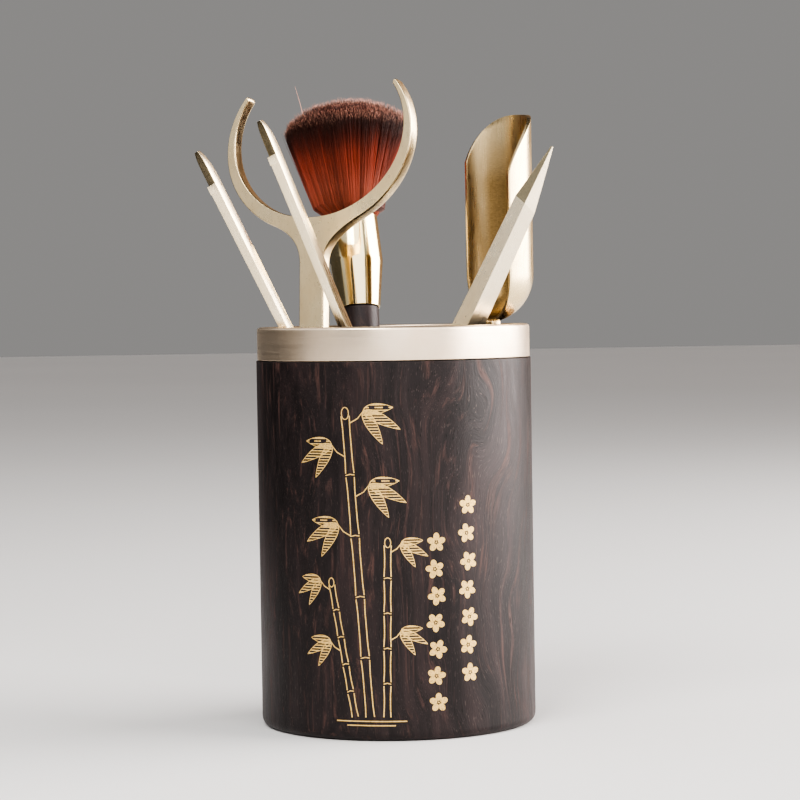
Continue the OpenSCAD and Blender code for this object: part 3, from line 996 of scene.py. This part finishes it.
def make_pick():
    """A square bar with lightly broken edges; its four-sided point is ground a little askew."""
    length, point = 166.3, 17.0
    mouth_z, root_z = 112.0, length - point
    sides = ((2.0, 4.6), (mouth_z, 5.9), (root_z, 4.8))
    askew = (-0.36, 0.12)
    rings = []
    for (z0, w0), (z1, w1) in zip(sides, sides[1:]):
        for i in range(12):
            s = i / 12
            half = (w0 + (w1 - w0) * s) / 2
            rings.append(bar_ring(-half, half, -half, half, z0 + (z1 - z0) * s, 0.26))
    half = sides[2][1] / 2
    for s in (0.0, 0.02, 0.35, 0.7, 0.93, 1.0):
        wide = half * (1 - s) + 0.28 * s
        tilt = [a * (1 - s) for a in askew]
        rings.append(bar_ring(-wide, wide, -wide, wide, root_z + point * s, 0.2, tilt))
    pick = settled("pick_bar", loft(rings), stood("pick", pick_foot, pick_spin), smooth_angle=5)
    # Painted dark reflection: the point's faces that turn to the left, and the bar's edge between its front
    # and left faces, take a darker colour.
    paint_shade_faces(pick, lambda at, n: n.x < -0.8 if at.z > root_z else max(n.x, n.y) < -0.55)
    belongs(pick, "pick", "tool_brass", pick_brass, "tea_pick")


make_wood()
make_collar()
make_bamboo()
make_blossoms()
make_fork()
make_tongs_bend()
make_leg(-1, "tongs_left", "leg_left", "tongs_leg_left")
make_leg(1, "tongs_right", "leg_right", "tongs_leg_right")
make_handle()
make_ferrule()
make_tuft()
make_stray()
make_scoop()
make_pick()

# ------------------------------------------------------------------------------------ the studio


def make_floor():
    """The plain pale floor."""
    build = bmesh.new()
    bmesh.ops.create_grid(build, x_segments=8, y_segments=8, size=6.0)
    mesh = bpy.data.meshes.new("floor")
    build.to_mesh(mesh)
    build.free()
    floor = bpy.data.objects.new("floor", mesh)
    bpy.context.scene.collection.objects.link(floor)
    mesh.materials.append(studio_look("paper", (0.8, 0.79, 0.78)))


def make_flag():
    """A black card that stands behind the pot on the left; only reflections show it."""
    build = bmesh.new()
    feet, tall = ((-0.40, -0.10), (-0.36, 0.14), (-0.20, 0.38)), 0.26
    low = [build.verts.new((x, y, 0)) for x, y in feet]
    high = [build.verts.new((x, y, tall)) for x, y in feet]
    for k in range(len(feet) - 1):
        build.faces.new((low[k], low[k + 1], high[k + 1], high[k]))
    mesh = bpy.data.meshes.new("flag")
    build.to_mesh(mesh)
    build.free()
    flag = bpy.data.objects.new("flag", mesh)
    bpy.context.scene.collection.objects.link(flag)
    mesh.materials.append(studio_look("felt", (0.03, 0.03, 0.03)))
    flag.visible_camera = False
    flag.visible_diffuse = False
    flag.visible_shadow = False


def make_light(name, at, aim, size, power, colour):
    """A soft box at a point, aimed at another; power is in watts."""
    data = bpy.data.lights.new(name, "AREA")
    data.shape = "RECTANGLE"
    data.size, data.size_y = size
    data.energy = power
    data.color = colour
    lamp = bpy.data.objects.new(name, data)
    lamp.location = at
    lamp.rotation_euler = (Vector(aim) - Vector(at)).to_track_quat("-Z", "Y").to_euler()
    lamp.visible_camera = False
    bpy.context.scene.collection.objects.link(lamp)


def make_world():
    """Soft daylight: bright from the right and from above, dim from the back left."""
    world = bpy.data.worlds.new("room")
    bpy.context.scene.world = world
    world.use_nodes = True
    tree = world.node_tree
    way = tree.nodes.new("ShaderNodeTexCoord").outputs["Generated"]

    def vector(operation, a, b, output=0):
        node = tree.nodes.new("ShaderNodeVectorMath")
        node.operation = operation
        for socket, value in zip(node.inputs, (a, b)):
            if isinstance(value, bpy.types.NodeSocket):
                tree.links.new(value, socket)
            else:
                socket.default_value = value
        return node.outputs[output]

    # Each glow: where it is, the angles at which it is full and at which it has gone, its colour
    glows = (
        ((1.0, -0.1, 0.12), 15, 42, (1.3, 1.25, 1.18)),
        ((0.6, 0.75, 0.2), 15, 50, (0.26, 0.16, 0.1)),
        ((-0.8, -0.42, 0.42), 10, 32, (0.55, 0.55, 0.56)),
        ((-0.7, 0.25, 0.7), 10, 34, (0.9, 0.9, 0.92)),
        ((0.4, -0.3, 0.85), 10, 50, (0.34, 0.34, 0.34)))
    total = vector("ADD", (0.07, 0.067, 0.065), (0, 0, 0))
    for aim, full, gone, colour in glows:
        span = tree.nodes.new("ShaderNodeMapRange")
        span.interpolation_type = "SMOOTHSTEP"
        span.inputs["From Min"].default_value = math.cos(math.radians(gone))
        span.inputs["From Max"].default_value = math.cos(math.radians(full))
        tree.links.new(vector("DOT_PRODUCT", way, Vector(aim).normalized(), 1), span.inputs["Value"])
        glow = tree.nodes.new("ShaderNodeVectorMath")
        glow.operation = "SCALE"
        glow.inputs[0].default_value = colour
        tree.links.new(span.outputs["Result"], glow.inputs["Scale"])
        total = vector("ADD", total, glow.outputs[0])
    seen = tree.nodes.new("ShaderNodeLightPath")
    pale = tree.nodes.new("ShaderNodeMix")
    pale.data_type = "RGBA"
    tree.links.new(seen.outputs["Is Camera Ray"], pale.inputs[0])
    tree.links.new(total, pale.inputs[6])
    pale.inputs[7].default_value = (0.24, 0.235, 0.23, 1)
    tree.links.new(pale.outputs[2], tree.nodes["Background"].inputs["Color"])


def make_camera():
    """A long lens in front of the pot, at the height of its rim, looking a little down."""
    data = bpy.data.cameras.new("camera")
    data.sensor_width = 36
    data.lens = 121.67
    camera = bpy.data.objects.new("camera", data)
    pitch, roll = math.radians(90 - 2.009), math.radians(-0.902)
    spot = Matrix.Translation((0.0016, -0.74, 0.114))
    camera.matrix_world = spot @ Matrix.Rotation(pitch, 4, "X") @ Matrix.Rotation(roll, 4, "Z")
    bpy.context.scene.collection.objects.link(camera)
    bpy.context.scene.camera = camera


make_floor()
make_flag()
make_light("window", (1.0, 0.04, 0.42), (0, 0, 0.2), (1.4, 0.8), 26, (1.0, 0.96, 0.94))
make_light("streak", (0.25, -1.3, 0.72), (0, 0, 0.15), (1.5, 1.3), 12.5, (1.0, 0.98, 0.96))
make_light("front", (-0.4, -0.75, 0.9), (-0.34, -0.38, 0), (0.6, 0.6), 9, (1.0, 0.99, 0.97))
make_world()
make_camera()
bpy.context.scene.view_settings.look = "AgX - High Contrast"
